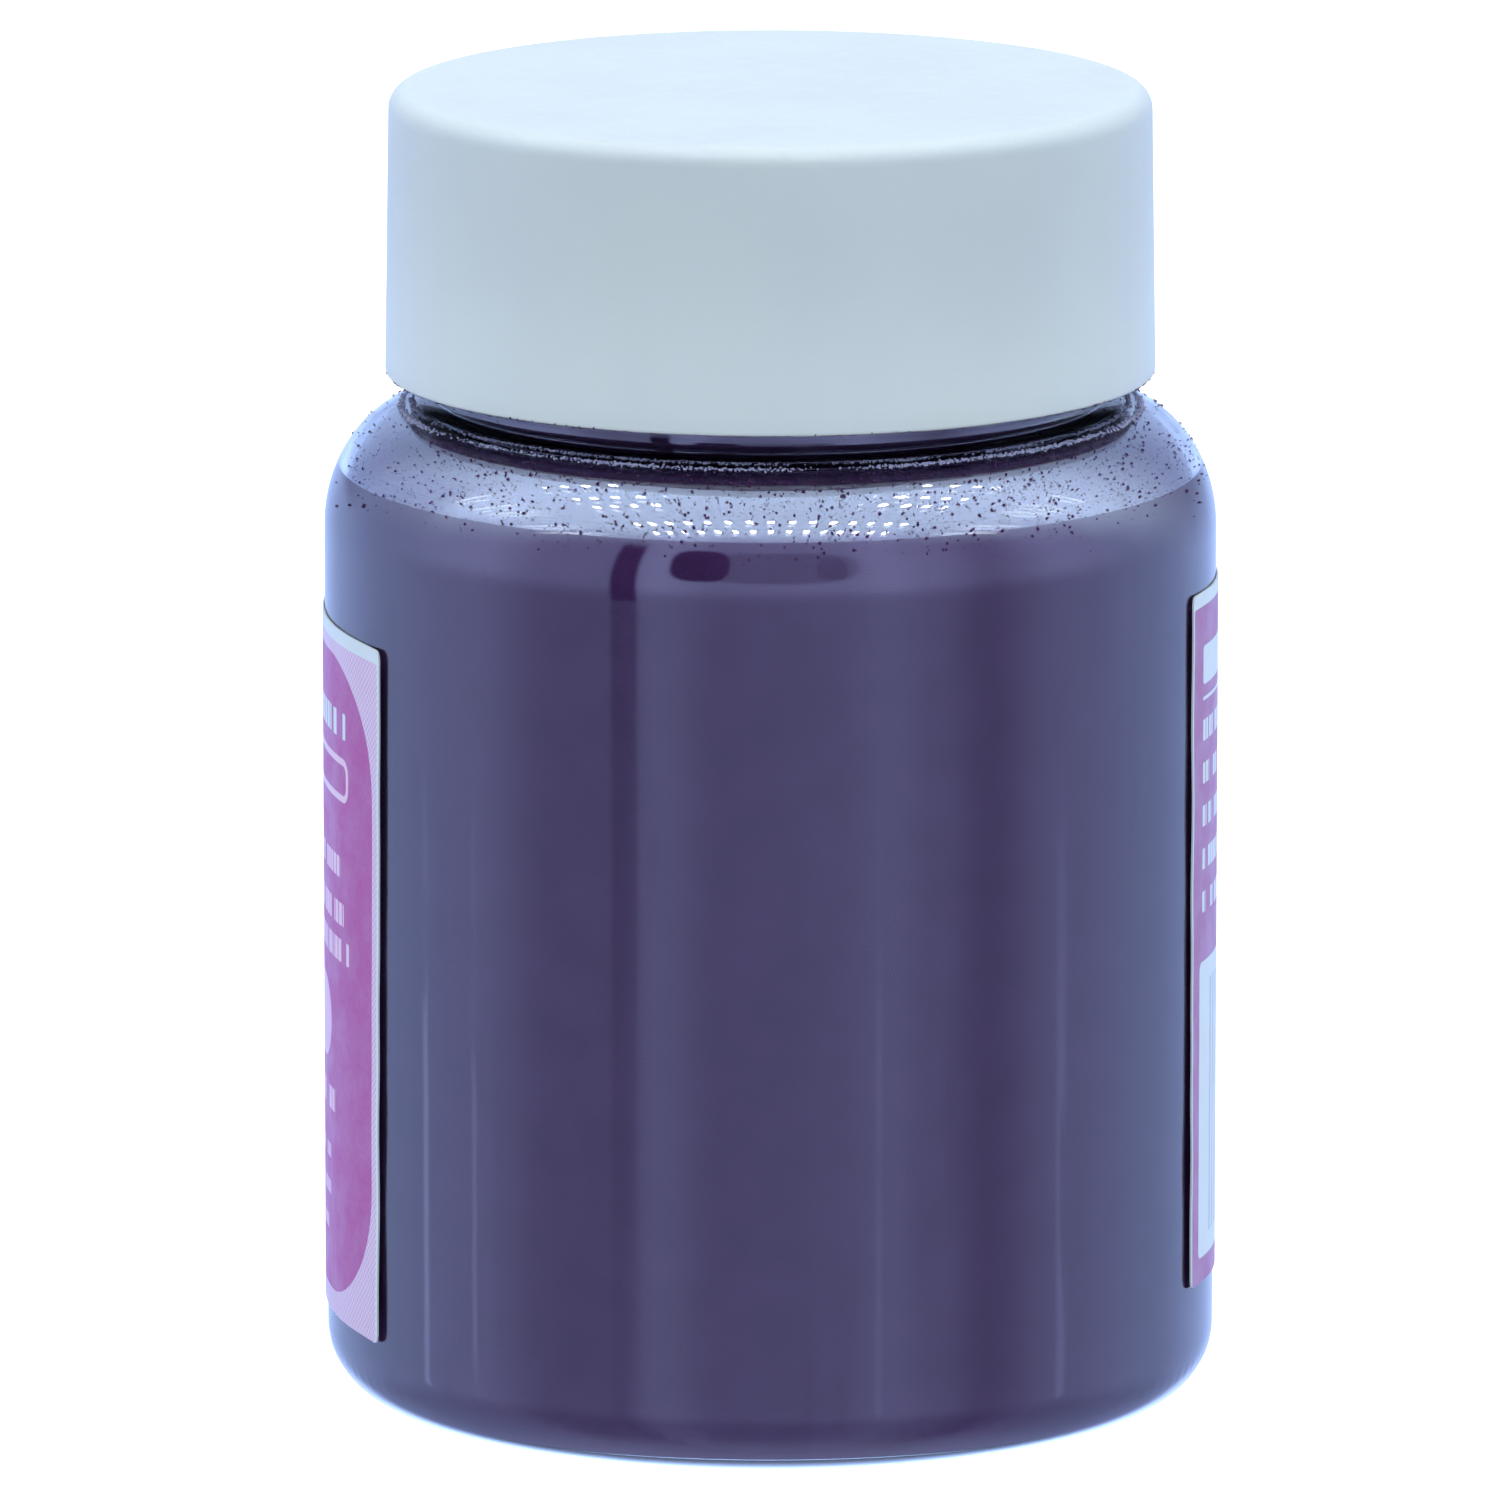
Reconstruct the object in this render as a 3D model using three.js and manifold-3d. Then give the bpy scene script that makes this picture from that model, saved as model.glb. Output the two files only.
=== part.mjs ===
// A screw-top jar of pigment powder: a clear blown body with a threaded neck, a moulded screw cap,
// a foam liner inside the cap, a wrap label and the powder.
// Millimetres, +Z up, origin at the centre of the base. Angles run from -Y, the jar's bare side,
// towards +X, so they grow anticlockwise seen from above.
import * as THREE from "three";
import { mergeVertices } from "three/addons/utils/BufferGeometryUtils.js";
import Module from "manifold-3d";

const wasm = await Module();
wasm.setup();

// Jar body
const BODY_RADIUS = 25;
const BODY_WALL = 0.8;
const HEEL_ACROSS = 3.2;
const HEEL_UP = 3.6;
const BASE_THICKNESS = 1.2;
const STANDING_RING_INNER = 17.5;
const PUSH_UP_HEIGHT = 2.4;
const PUSH_UP_FLAT_SHARE = 0.7;
const SHOULDER_ACROSS = 5.8;
const SHOULDER_UP = 7;
const SHOULDER_TOP = 56.2;

// Neck, with a right-hand thread of six turns to the inch
const NECK_RADIUS = 18.8;
const NECK_WALL = 1.3;
const NECK_TOP = 71.2;
const NECK_CHAMFER = 0.4;
const NECK_THREAD_HEIGHT = 1.1;
const NECK_THREAD_START = 62.2;
const THREAD_PITCH = 25.4 / 6;
const THREAD_TURNS = 1.75;

// Cap. Its thread runs under the neck's, a little above the middle of the gap, as when screwed tight.
const CAP_BOTTOM = 57.9;
const CAP_TOP = 73.9;
const CAP_BOTTOM_RADIUS = 21.55;
const CAP_TOP_RADIUS = 21.33;
const CAP_EDGE_ROUND = 0.8;
const CAP_RIM_CHAMFER = 0.25;
const CAP_TOP_THICKNESS = 1.4;
const CAP_INNER_RADIUS = 20.2;
const CAP_THREAD_HEIGHT = 1.05;
const CAP_THREAD_START = NECK_THREAD_START - THREAD_PITCH / 2 + 0.25;

// Both threads have one section: its half widths along the axis, and how deep it sits in the wall.
const THREAD_ROOT_HALF = 1.1;
const THREAD_CREST_HALF = 0.55;
const THREAD_EMBED = 0.5;
const THREAD_FADE_TURNS = 0.12;
const THREAD_FADE_LEAST = 0.05;

// Liner
const LINER_RADIUS = 20;
const LINER_GAP = 0.1;

// Wrap label, put on a little crooked
const LABEL_THICKNESS = 0.1;
const LABEL_GAP = 0.03;
const LABEL_HEIGHT = 39.5;
const LABEL_START = THREE.MathUtils.degToRad(67.5);
const LABEL_END = THREE.MathUtils.degToRad(301.6);
const LABEL_START_Z = 7.1;
const LABEL_END_Z = 4.8;

// Powder, filled to just under the top of the shoulder
const POWDER_GAP = 0.1;
const POWDER_LEVEL = 53.4;
const POWDER_MOUND = 0.8;

const TURN = 2 * Math.PI;
const QUARTER = Math.PI / 2;
const SEGMENTS = 48;
const CURVE_DETAIL = 3;
const MERGE_WITHIN = 1e-4;

const clearPlastic = new THREE.MeshStandardMaterial({
  color: 0xdfe4f0,
  roughness: 0.08,
  transparent: true,
  opacity: 0.35,
});
const whitePlastic = new THREE.MeshStandardMaterial({ color: 0xdde6f0, roughness: 0.5 });
const whiteFoam = new THREE.MeshStandardMaterial({ color: 0xf2f2ee, roughness: 0.9 });
const printedFilm = new THREE.MeshStandardMaterial({ color: 0xb060a8, roughness: 0.45 });
const violetPowder = new THREE.MeshStandardMaterial({ color: 0x46324f, roughness: 0.95 });

// Revolves an outline, drawn as radius and height, round the Z axis.
function revolve(outline) {
  return new THREE.LatheGeometry(outline.getPoints(CURVE_DETAIL), SEGMENTS).rotateX(QUARTER);
}

// An arc of an ellipse, from one angle to another, anticlockwise where the angle grows.
function ellipseArc(outline, centre, halfSize, from, to) {
  outline.absellipse(centre.r, centre.z, halfSize.r, halfSize.z, from, to, to < from, 0);
}

function solid(geometry) {
  const bare = geometry.clone();
  bare.deleteAttribute("normal");
  bare.deleteAttribute("uv");
  const merged = mergeVertices(bare, MERGE_WITHIN);
  const mesh = new wasm.Mesh({
    numProp: 3,
    vertProperties: new Float32Array(merged.attributes.position.array),
    triVerts: new Uint32Array(merged.index.array),
  });
  return new wasm.Manifold(mesh);
}

function join(first, second) {
  const mesh = solid(first).add(solid(second)).getMesh();
  const geometry = new THREE.BufferGeometry();
  geometry.setAttribute("position", new THREE.BufferAttribute(mesh.vertProperties, 3));
  geometry.setIndex(new THREE.BufferAttribute(mesh.triVerts, 1));
  geometry.computeVertexNormals();
  return geometry;
}

// A thread's rib. A straight bar is extruded, one unit long for each turn, and wound round the axis.
// Its height is above zero on the outside of a wall and below zero on the inside, and it fades out
// at both ends.
function threadRib(wallRadius, height, startZ) {
  const root = -Math.sign(height) * THREAD_EMBED;
  const section = new THREE.Shape();
  section.moveTo(-THREAD_ROOT_HALF, root);
  section.lineTo(THREAD_ROOT_HALF, root);
  section.lineTo(THREAD_ROOT_HALF, 0);
  section.lineTo(THREAD_CREST_HALF, height);
  section.lineTo(-THREAD_CREST_HALF, height);
  section.lineTo(-THREAD_ROOT_HALF, 0);
  const rib = new THREE.ExtrudeGeometry(section, {
    depth: THREAD_TURNS,
    steps: THREAD_TURNS * SEGMENTS,
    bevelEnabled: false,
  });
  const positions = rib.attributes.position;
  for (let i = 0; i < positions.count; i++) {
    const along = positions.getX(i);
    const proud = positions.getY(i);
    const turns = positions.getZ(i);
    const fromEnd = Math.min(turns, THREAD_TURNS - turns);
    const grown = THREE.MathUtils.smoothstep(fromEnd, 0, THREAD_FADE_TURNS);
    const fade = proud * height > 0 ? Math.max(THREAD_FADE_LEAST, grown) : 1;
    const radius = wallRadius + proud * fade;
    const angle = turns * TURN;
    const z = startZ + turns * THREAD_PITCH + along;
    positions.setXYZ(i, radius * Math.sin(angle), -radius * Math.cos(angle), z);
  }
  return rib;
}

// The base's underside or inner floor, from the axis to the standing ring: a low dome, so that the
// jar stands on a ring.
function domeOutwards(outline, floor) {
  outline.moveTo(0, floor + PUSH_UP_HEIGHT);
  outline.quadraticCurveTo(
    STANDING_RING_INNER * PUSH_UP_FLAT_SHARE,
    floor + PUSH_UP_HEIGHT,
    STANDING_RING_INNER,
    floor,
  );
}

const heelCentre = { r: BODY_RADIUS - HEEL_ACROSS, z: HEEL_UP };
const shoulderCentre = { r: BODY_RADIUS - SHOULDER_ACROSS, z: SHOULDER_TOP - SHOULDER_UP };

function jarBody() {
  const innerRadius = BODY_RADIUS - BODY_WALL;
  const boreRadius = NECK_RADIUS - NECK_WALL;
  const innerHeel = { r: innerRadius - heelCentre.r, z: HEEL_UP - BASE_THICKNESS };
  const innerShoulder = { r: innerRadius - shoulderCentre.r, z: SHOULDER_UP - BODY_WALL };

  const outline = new THREE.Path();
  domeOutwards(outline, 0);
  outline.lineTo(heelCentre.r, 0);
  ellipseArc(outline, heelCentre, { r: HEEL_ACROSS, z: HEEL_UP }, -QUARTER, 0);
  outline.lineTo(BODY_RADIUS, shoulderCentre.z);
  ellipseArc(outline, shoulderCentre, { r: SHOULDER_ACROSS, z: SHOULDER_UP }, 0, QUARTER);
  outline.lineTo(NECK_RADIUS, SHOULDER_TOP + NECK_CHAMFER);
  outline.lineTo(NECK_RADIUS, NECK_TOP - NECK_CHAMFER);
  outline.lineTo(NECK_RADIUS - NECK_CHAMFER, NECK_TOP);
  outline.lineTo(boreRadius + NECK_CHAMFER, NECK_TOP);
  outline.lineTo(boreRadius, NECK_TOP - NECK_CHAMFER);
  outline.lineTo(boreRadius, SHOULDER_TOP);
  outline.lineTo(boreRadius + BODY_WALL, SHOULDER_TOP - BODY_WALL);
  outline.lineTo(shoulderCentre.r, SHOULDER_TOP - BODY_WALL);
  ellipseArc(outline, shoulderCentre, innerShoulder, QUARTER, 0);
  outline.lineTo(innerRadius, HEEL_UP);
  ellipseArc(outline, heelCentre, innerHeel, 0, -QUARTER);
  outline.lineTo(STANDING_RING_INNER, BASE_THICKNESS);
  outline.quadraticCurveTo(
    STANDING_RING_INNER * PUSH_UP_FLAT_SHARE,
    BASE_THICKNESS + PUSH_UP_HEIGHT,
    0,
    BASE_THICKNESS + PUSH_UP_HEIGHT,
  );
  const thread = threadRib(NECK_RADIUS, NECK_THREAD_HEIGHT, NECK_THREAD_START);
  return join(revolve(outline), thread);
}

function cap() {
  const ceiling = CAP_TOP - CAP_TOP_THICKNESS;
  const edgeCentre = { r: CAP_TOP_RADIUS - CAP_EDGE_ROUND, z: CAP_TOP - CAP_EDGE_ROUND };
  const edgeSize = { r: CAP_EDGE_ROUND, z: CAP_EDGE_ROUND };

  const outline = new THREE.Path();
  outline.moveTo(0, ceiling);
  outline.lineTo(CAP_INNER_RADIUS, ceiling);
  outline.lineTo(CAP_INNER_RADIUS, CAP_BOTTOM);
  outline.lineTo(CAP_BOTTOM_RADIUS - CAP_RIM_CHAMFER, CAP_BOTTOM);
  outline.lineTo(CAP_BOTTOM_RADIUS, CAP_BOTTOM + CAP_RIM_CHAMFER);
  outline.lineTo(CAP_TOP_RADIUS, edgeCentre.z);
  ellipseArc(outline, edgeCentre, edgeSize, 0, QUARTER);
  outline.lineTo(0, CAP_TOP);
  const thread = threadRib(CAP_INNER_RADIUS, -CAP_THREAD_HEIGHT, CAP_THREAD_START);
  return join(revolve(outline), thread);
}

function capLiner() {
  const low = NECK_TOP + LINER_GAP;
  const high = CAP_TOP - CAP_TOP_THICKNESS - LINER_GAP;
  const outline = new THREE.Path();
  outline.moveTo(0, low);
  outline.lineTo(LINER_RADIUS, low);
  outline.lineTo(LINER_RADIUS, high);
  outline.lineTo(0, high);
  return revolve(outline);
}

// An arc of sheet, extruded to the label's height and then sheared, because it is crooked. It bends
// where the body's own facets do, so that it stays clear of them.
function label() {
  const step = TURN / SEGMENTS;
  const angles = [LABEL_START];
  for (let i = Math.ceil(LABEL_START / step); i * step < LABEL_END; i++) angles.push(i * step);
  angles.push(LABEL_END);

  const inner = BODY_RADIUS + LABEL_GAP;
  const outer = inner + LABEL_THICKNESS;
  const sheet = new THREE.Shape();
  for (const angle of angles) sheet.lineTo(inner * Math.sin(angle), -inner * Math.cos(angle));
  for (const angle of angles.reverse()) sheet.lineTo(outer * Math.sin(angle), -outer * Math.cos(angle));
  const geometry = new THREE.ExtrudeGeometry(sheet, { depth: LABEL_HEIGHT, bevelEnabled: false });

  const positions = geometry.attributes.position;
  for (let i = 0; i < positions.count; i++) {
    const angle = (Math.atan2(positions.getX(i), -positions.getY(i)) + TURN) % TURN;
    const low = THREE.MathUtils.mapLinear(angle, LABEL_START, LABEL_END, LABEL_START_Z, LABEL_END_Z);
    positions.setZ(i, positions.getZ(i) + low);
  }
  return geometry;
}

function pigmentPowder() {
  const radius = BODY_RADIUS - BODY_WALL - POWDER_GAP;
  const floor = BASE_THICKNESS + POWDER_GAP;
  const heel = { r: radius - heelCentre.r, z: HEEL_UP - floor };
  const shoulder = { r: radius - shoulderCentre.r, z: SHOULDER_UP - BODY_WALL - POWDER_GAP };
  const levelAngle = Math.asin((POWDER_LEVEL - shoulderCentre.z) / shoulder.z);
  const mound = POWDER_LEVEL + POWDER_MOUND;

  const outline = new THREE.Path();
  domeOutwards(outline, floor);
  outline.lineTo(heelCentre.r, floor);
  ellipseArc(outline, heelCentre, heel, -QUARTER, 0);
  outline.lineTo(radius, shoulderCentre.z);
  ellipseArc(outline, shoulderCentre, shoulder, 0, levelAngle);
  outline.quadraticCurveTo(shoulderCentre.r / 2, mound, 0, mound);
  return revolve(outline);
}

const jar = new THREE.Group();
jar.name = "pigment_jar";

function add(name, geometry, finish) {
  const mesh = new THREE.Mesh(geometry, finish);
  mesh.name = name;
  jar.add(mesh);
}

add("jar_body", jarBody(), clearPlastic);
add("cap", cap(), whitePlastic);
add("cap_liner", capLiner(), whiteFoam);
add("label", label(), printedFilm);
add("pigment_powder", pigmentPowder(), violetPowder);

export default jar;
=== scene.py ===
import math
import random

import bpy
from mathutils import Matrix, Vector, noise


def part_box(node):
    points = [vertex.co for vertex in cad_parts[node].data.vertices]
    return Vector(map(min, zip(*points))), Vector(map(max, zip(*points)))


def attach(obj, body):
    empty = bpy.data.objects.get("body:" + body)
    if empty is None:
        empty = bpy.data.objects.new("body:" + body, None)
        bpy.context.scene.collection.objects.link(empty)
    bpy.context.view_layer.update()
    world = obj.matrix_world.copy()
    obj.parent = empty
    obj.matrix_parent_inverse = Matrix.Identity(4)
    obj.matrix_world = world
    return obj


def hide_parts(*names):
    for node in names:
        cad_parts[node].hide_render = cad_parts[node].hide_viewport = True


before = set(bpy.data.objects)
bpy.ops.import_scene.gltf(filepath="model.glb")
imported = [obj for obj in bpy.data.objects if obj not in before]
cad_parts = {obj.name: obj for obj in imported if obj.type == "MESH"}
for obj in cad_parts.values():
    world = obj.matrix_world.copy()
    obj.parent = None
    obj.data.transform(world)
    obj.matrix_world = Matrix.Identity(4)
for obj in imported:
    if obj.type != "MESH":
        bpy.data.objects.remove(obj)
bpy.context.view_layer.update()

MM = 0.001
TURN = 2 * math.pi
UP = Vector((0, 0, 1))


def measures(node):
    """A CAD node's lowest and highest corner, in millimetres."""
    low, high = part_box(node)
    return low / MM, high / MM


# Jar body
_, body_high = measures("jar_body")
BODY_RADIUS = body_high.x
BODY_WALL = 0.8
BASE_THICKNESS = 1.2
HEEL_ACROSS = 3.2
HEEL_UP = 3.6
SHOULDER_ACROSS = 5.8
SHOULDER_UP = 7
SHOULDER_TOP = 56.2
RING_INNER = 17.5
RING_EASE = 0.7
PUSH_UP = 2.4
PUSH_UP_FLAT_SHARE = 0.7
GATE_RADIUS = 1.1
GATE_HEIGHT = 0.35
HEEL_MARKS = 132
HEEL_MARK_LOW = 1.5
HEEL_MARK_HIGH = 2.9
HEEL_MARK_HEIGHT = 0.02
HEEL_MARK_SLANT = 0.35
WALL_WAVE = 0.012

# Neck
NECK_RADIUS = 18.8
NECK_WALL = 1.3
NECK_TOP = body_high.z
NECK_ROUND = 0.4
NECK_FILLET = 1.0
NECK_THREAD_HEIGHT = 1.1
NECK_THREAD_START = 62.2
THREAD_PITCH = 25.4 / 6
THREAD_TURNS = 1.75
THREAD_ROOT_HALF = 1.1
THREAD_CREST_HALF = 0.55
THREAD_FADE_TURNS = 0.12

# Cap
cap_low, cap_high = measures("cap")
CAP_BOTTOM = cap_low.z
CAP_TOP = cap_high.z
CAP_BOTTOM_RADIUS = cap_high.x
CAP_TAPER = 0.22
CAP_EDGE_ROUND = 1.15
CAP_RIM_ROUND = 0.25
CAP_TOP_THICKNESS = 1.4
CAP_TOP_DISH = 0.06
CAP_INNER_RADIUS = 20.2
CAP_INNER_ROUND = 0.3
CAP_THREAD_HEIGHT = 1.05
CAP_THREAD_START = NECK_THREAD_START - THREAD_PITCH / 2 + 0.25
LINER_BEAD_HEIGHT = 0.28
LINER_BEAD_HALF = 0.3

# Liner
liner_low, liner_high = measures("cap_liner")
LINER_RADIUS = liner_high.x
LINER_BOTTOM = liner_low.z
LINER_TOP = liner_high.z
LINER_ROUND = 0.2
LINER_DENT = 0.09

# Label
LABEL_START = math.radians(68.8)
LABEL_END = math.radians(301.0)
LABEL_START_Z = 7.1
LABEL_END_Z = 4.8
LABEL_HEIGHT = 39.5
LABEL_THICKNESS = 0.1
LABEL_GAP = 0.03
LABEL_CORNER = 0.5
LABEL_RADIUS = BODY_RADIUS + LABEL_GAP
LABEL_LENGTH = LABEL_RADIUS * (LABEL_END - LABEL_START)
LABEL_LEAN = 0.5
LABEL_CURL = 2.8
LABEL_START_LIFT = 0.16
LABEL_END_LIFT = 0.18
LABEL_LIFT_CHANGE = 0.05

# Powder
_, powder_high = measures("pigment_powder")
POWDER_LEVEL = 53.4
POWDER_PRESSED = 0.02
POWDER_PRESSED_UP_TO = 30
HEEL_LOOSE_UP_TO = -74
POWDER_GAP = 0.12
POWDER_MOUND = powder_high.z
MOUND_ROUGHNESS = ((0.35, 5), (0.16, 1.3), (0.08, 0.5))
MOUND_SINK = 0.35
FILM_GAP = 0.03
FILM_THICKNESS = 0.06
FILM_TOP = 62.0

# Dust: numbers of grains, their least and greatest sizes, and the tilts between which they lie. A ring of
# bloom has a radius, a spread, a number of grains and a share left bare.
GRAIN_CORNERS = 5
GRAIN_LEVELS = ((0.05, 0.8), (0.55, 1.0), (1.0, 0.45))
GRAIN_HEIGHT = 0.9
SHOULDER_GRAINS = 2900
SHOULDER_GRAIN_SIZES = (0.032, 0.105)
SHOULDER_TILTS = (8, 78)
FILLET_GRAINS = 300
FILLET_GRAIN_SIZES = (0.02, 0.07)
FILLET_TILTS = (8, 95)
BLOOM_RINGS = ((20.72, 0.1, 3800, 0.25), (20.05, 0.08, 1900, 0.5))
BLOOM_GRAIN_SIZES = (0.03, 0.085)
RIM_GRAINS = 650
RIM_GRAIN_SIZES = (0.02, 0.075)
RIM_TILTS = (-95, -25)
BORE_GRAINS = 420
BORE_GRAIN_SIZES = (0.03, 0.16)

SEGMENTS = 264
SEED = 7


def smooth(share):
    """Eases a share of the way from 0 to 1, and holds it there outside."""
    share = min(1.0, max(0.0, share))
    return share * share * (3 - 2 * share)


def wobble(angle, height, around, along, seed=0.0):
    """Smooth noise of about -1 to 1 on a round wall, `around` waves a turn and `along` millimetres long."""
    reach = around / TURN
    return noise.noise(Vector((reach * math.sin(angle), reach * math.cos(angle) + seed, height / along)))


class Outline:
    """A lathe's outline: points of radius and height, each with the relief that moves it, if any.

    A relief takes an angle and a height, and gives how far the wall moves out and up there.
    """

    def __init__(self, radius, height, relief=None):
        self.points = [(radius, height, relief)]

    def line(self, radius, height, steps=1, relief=None):
        start_radius, start_height, _ = self.points[-1]
        for i in range(1, steps + 1):
            share = i / steps
            across = start_radius + (radius - start_radius) * share
            up = start_height + (height - start_height) * share
            self.points.append((across, up, relief))

    def arc(self, centre, half_size, start, end, steps, relief=None):
        """A stretch of an ellipse, from one angle to another in degrees, its first point included."""
        for i in range(steps + 1):
            angle = math.radians(start + (end - start) * i / steps)
            across = centre[0] + half_size[0] * math.cos(angle)
            up = centre[1] + half_size[1] * math.sin(angle)
            self.points.append((across, up, relief))

    def curve(self, bend, end, steps, relief=None):
        """A quadratic curve from the last point to the end, pulled towards the bend."""
        start = self.points[-1]
        for i in range(1, steps + 1):
            t = i / steps
            weights = ((1 - t) ** 2, 2 * t * (1 - t), t * t)
            across = weights[0] * start[0] + weights[1] * bend[0] + weights[2] * end[0]
            up = weights[0] * start[1] + weights[1] * bend[1] + weights[2] * end[1]
            self.points.append((across, up, relief))


def round_point(radius, angle, height):
    return Vector((radius * math.sin(angle), -radius * math.cos(angle), height))


def make_object(name, points, faces):
    """A mesh object from points in millimetres."""
    mesh = bpy.data.meshes.new(name)
    mesh.from_pydata([point * MM for point in points], [], faces)
    mesh.validate()
    mesh.update()
    made = bpy.data.objects.new(name, mesh)
    bpy.context.scene.collection.objects.link(made)
    return made


def shade(made, sharp_over=40):
    made.data.shade_smooth()
    made.data.set_sharp_from_angle(angle=math.radians(sharp_over))


def revolve(name, outline, segments=SEGMENTS):
    """A closed solid of revolution. The outline runs from axis to axis, or round and back to its start."""
    on_axis = 1e-6
    points, rings = [], []
    for radius, height, relief in outline.points:
        if radius < on_axis:
            points.append(Vector((0, 0, height)))
            rings.append([len(points) - 1])
            continue
        ring = []
        for i in range(segments):
            angle = TURN * i / segments
            out, up = relief(angle, height) if relief else (0, 0)
            points.append(round_point(radius + out, angle, height + up))
            ring.append(len(points) - 1)
        rings.append(ring)
    if len(rings[0]) > 1:
        rings.append(rings[0])
    faces = []
    for lower, upper in zip(rings, rings[1:]):
        for i in range(segments):
            j = (i + 1) % segments
            if len(lower) == 1:
                faces.append((lower[0], upper[j], upper[i]))
            elif len(upper) == 1:
                faces.append((lower[i], lower[j], upper[0]))
            else:
                faces.append((lower[i], lower[j], upper[j], upper[i]))
    made = make_object(name, points, faces)
    shade(made)
    return made


def thread_relief(height, start_z):
    """How a thread's rib stands out of a round wall, or into it where its height is below zero."""

    def relief(angle, z):
        out = 0.0
        for whole in range(math.ceil(THREAD_TURNS)):
            turns = whole + (angle % TURN) / TURN
            if turns > THREAD_TURNS:
                continue
            aside = abs(z - start_z - turns * THREAD_PITCH)
            flank = (THREAD_ROOT_HALF - aside) / (THREAD_ROOT_HALF - THREAD_CREST_HALF)
            fade = smooth(min(turns, THREAD_TURNS - turns) / THREAD_FADE_TURNS)
            rib = height * smooth(flank) * fade
            out = max(out, rib, key=abs)
        return out, 0.0

    return relief


def wall_relief(angle, z):
    """The slight waves of a blown wall."""
    return WALL_WAVE * wobble(angle, z, 14, 9), 0.0


def heel_relief(angle, z):
    """The row of short slanting ridges that keep the heel from scuffing."""
    middle = (HEEL_MARK_LOW + HEEL_MARK_HIGH) / 2
    half = (HEEL_MARK_HIGH - HEEL_MARK_LOW) / 2
    along = 1 - abs(z - middle) / half
    phase = angle * HEEL_MARKS + (z - middle) * TURN * HEEL_MARK_SLANT
    ridge = max(0.0, math.cos(phase))
    return HEEL_MARK_HEIGHT * ridge * smooth(along * 2), 0.0


heel_centre = (BODY_RADIUS - HEEL_ACROSS, HEEL_UP)
shoulder_centre = (BODY_RADIUS - SHOULDER_ACROSS, SHOULDER_TOP - SHOULDER_UP)
bore_radius = NECK_RADIUS - NECK_WALL


def jar_body():
    thread = thread_relief(NECK_THREAD_HEIGHT, NECK_THREAD_START)
    lip = NECK_TOP - NECK_ROUND
    inner = BODY_RADIUS - BODY_WALL

    outline = Outline(0, PUSH_UP - GATE_HEIGHT)
    outline.line(GATE_RADIUS * 0.6, PUSH_UP - GATE_HEIGHT, 2)
    outline.curve((GATE_RADIUS, PUSH_UP - GATE_HEIGHT), (GATE_RADIUS, PUSH_UP - GATE_HEIGHT / 2), 4)
    outline.curve((GATE_RADIUS, PUSH_UP), (GATE_RADIUS * 1.5, PUSH_UP), 4)
    outline.curve((RING_INNER * PUSH_UP_FLAT_SHARE, PUSH_UP), (RING_INNER, RING_EASE * 0.25), 20)
    outline.curve((RING_INNER + RING_EASE * 0.4, 0), (RING_INNER + RING_EASE, 0), 5)
    outline.line(heel_centre[0], 0, 3)
    outline.arc(heel_centre, (HEEL_ACROSS, HEEL_UP), -90, 0, 30, heel_relief)
    outline.line(BODY_RADIUS, shoulder_centre[1], 24, wall_relief)
    outline.arc(shoulder_centre, (SHOULDER_ACROSS, SHOULDER_UP), 0, 84, 36, wall_relief)
    fillet = (NECK_RADIUS + NECK_FILLET, SHOULDER_TOP + NECK_FILLET)
    outline.arc(fillet, (NECK_FILLET, NECK_FILLET), -90, -180, 14)
    outline.line(NECK_RADIUS, lip, 88, thread)
    outline.arc((NECK_RADIUS - NECK_ROUND, lip), (NECK_ROUND, NECK_ROUND), 0, 90, 6)
    outline.arc((bore_radius + NECK_ROUND, lip), (NECK_ROUND, NECK_ROUND), 90, 180, 6)
    outline.line(bore_radius, SHOULDER_TOP, 10)
    outline.arc((bore_radius + BODY_WALL, SHOULDER_TOP), (BODY_WALL, BODY_WALL), 180, 270, 6)
    outline.line(shoulder_centre[0], SHOULDER_TOP - BODY_WALL, 2)
    inner_shoulder = (inner - shoulder_centre[0], SHOULDER_UP - BODY_WALL)
    outline.arc(shoulder_centre, inner_shoulder, 90, 0, 24)
    outline.line(inner, HEEL_UP, 12)
    outline.arc(heel_centre, (inner - heel_centre[0], HEEL_UP - BASE_THICKNESS), 0, -90, 12)
    outline.line(RING_INNER, BASE_THICKNESS, 2)
    high = BASE_THICKNESS + PUSH_UP
    outline.curve((RING_INNER * PUSH_UP_FLAT_SHARE, high), (0, high), 16)
    made = revolve("jar_body_clear", outline, HEEL_MARKS * 3)
    finish_piece(made, "jar", "jar_body", clear_plastic())


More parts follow.
